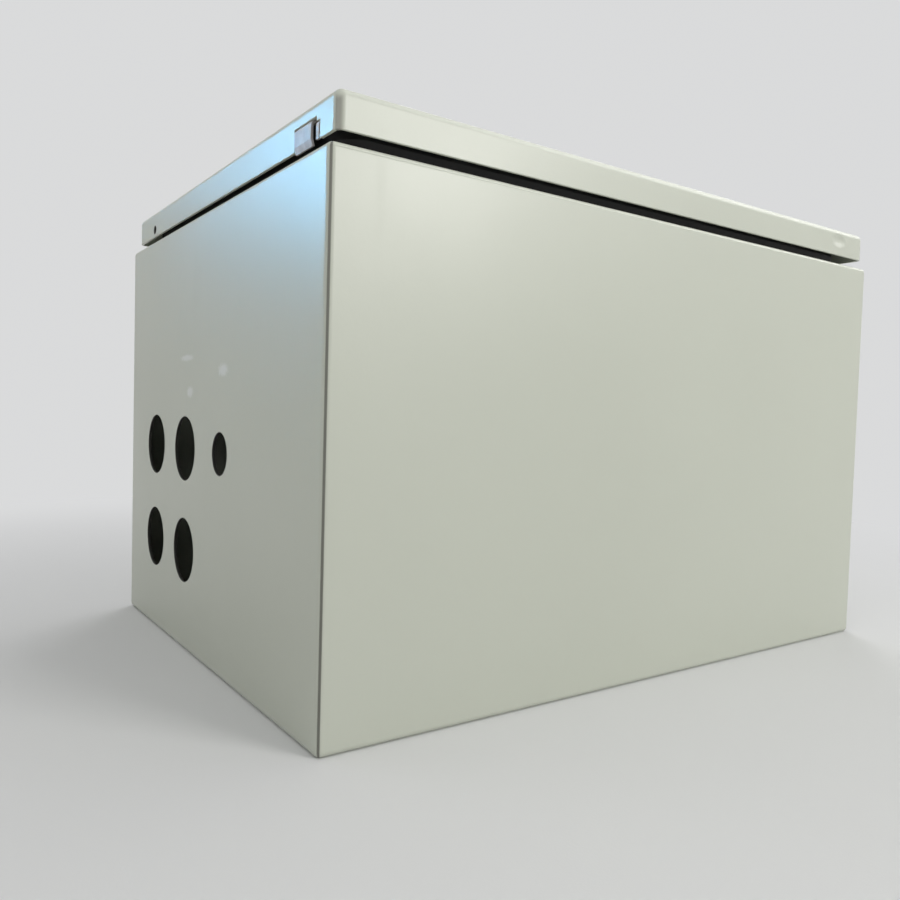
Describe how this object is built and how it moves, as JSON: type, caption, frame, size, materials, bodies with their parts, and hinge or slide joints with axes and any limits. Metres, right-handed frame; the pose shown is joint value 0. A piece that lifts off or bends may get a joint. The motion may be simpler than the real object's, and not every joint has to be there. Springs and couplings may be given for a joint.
{
  "type": "electrical enclosure",
  "caption": "Light grey sheet-steel wall enclosure with a flanged hinged door, a quarter-turn lock, round cable entries in one end wall and a mounting plate inside.",
  "frame": {"origin": "middle of the back face, on the surface that the enclosure lies on", "axes": "+X along the long sides, away from the cable entries; +Y towards the hinges; +Z from the back to the door"},
  "size_m": [0.4, 0.3, 0.2735],
  "materials": {
    "painted_steel": "satin",
    "black_rubber": "matte",
    "zinc_plated_steel": "satin",
    "galvanised_steel": "satin",
    "brass": "satin"
  },
  "bodies": {
    "body": {"body_wrap": "painted_steel", "rim_frame": "painted_steel", "entry_wall": "painted_steel", "end_wall": "painted_steel", "rim_seal": "black_rubber", "hinge_body_leaf_lower": "zinc_plated_steel", "hinge_body_leaf_upper": "zinc_plated_steel", "hinge_pin_lower": "zinc_plated_steel", "hinge_pin_upper": "zinc_plated_steel", "plate_studs": "zinc_plated_steel", "plate_washers": "zinc_plated_steel", "plate_nuts": "zinc_plated_steel", "mounting_plate": "galvanised_steel", "body_earth_stud": "brass", "body_earth_washer": "brass", "body_earth_nut": "brass"},
    "door": {"door_panel": "painted_steel", "door_guide": "zinc_plated_steel", "hinge_door_leaf_lower": "zinc_plated_steel", "hinge_door_leaf_upper": "zinc_plated_steel", "lock_housing": "zinc_plated_steel", "lock_seal": "black_rubber", "lock_nut": "zinc_plated_steel", "door_earth_stud": "brass", "door_earth_washer": "brass", "door_earth_nut": "brass"},
    "lock": {"lock_rotor": "zinc_plated_steel", "lock_cam": "galvanised_steel", "lock_cam_washer": "galvanised_steel", "lock_cam_screw": "zinc_plated_steel"}
  },
  "joints": [
    {"name": "door_hinge", "type": "hinge", "parent": "body", "child": "door", "pos_m": [0, 0.1465, 0.2515], "axis": [-1, 0, 0], "range_deg": [0, 120]},
    {"name": "lock_turn", "type": "hinge", "parent": "door", "child": "lock", "pos_m": [0, -0.108, 0.258], "axis": [0, 0, -1], "range_deg": [0, 90]}
  ]
}
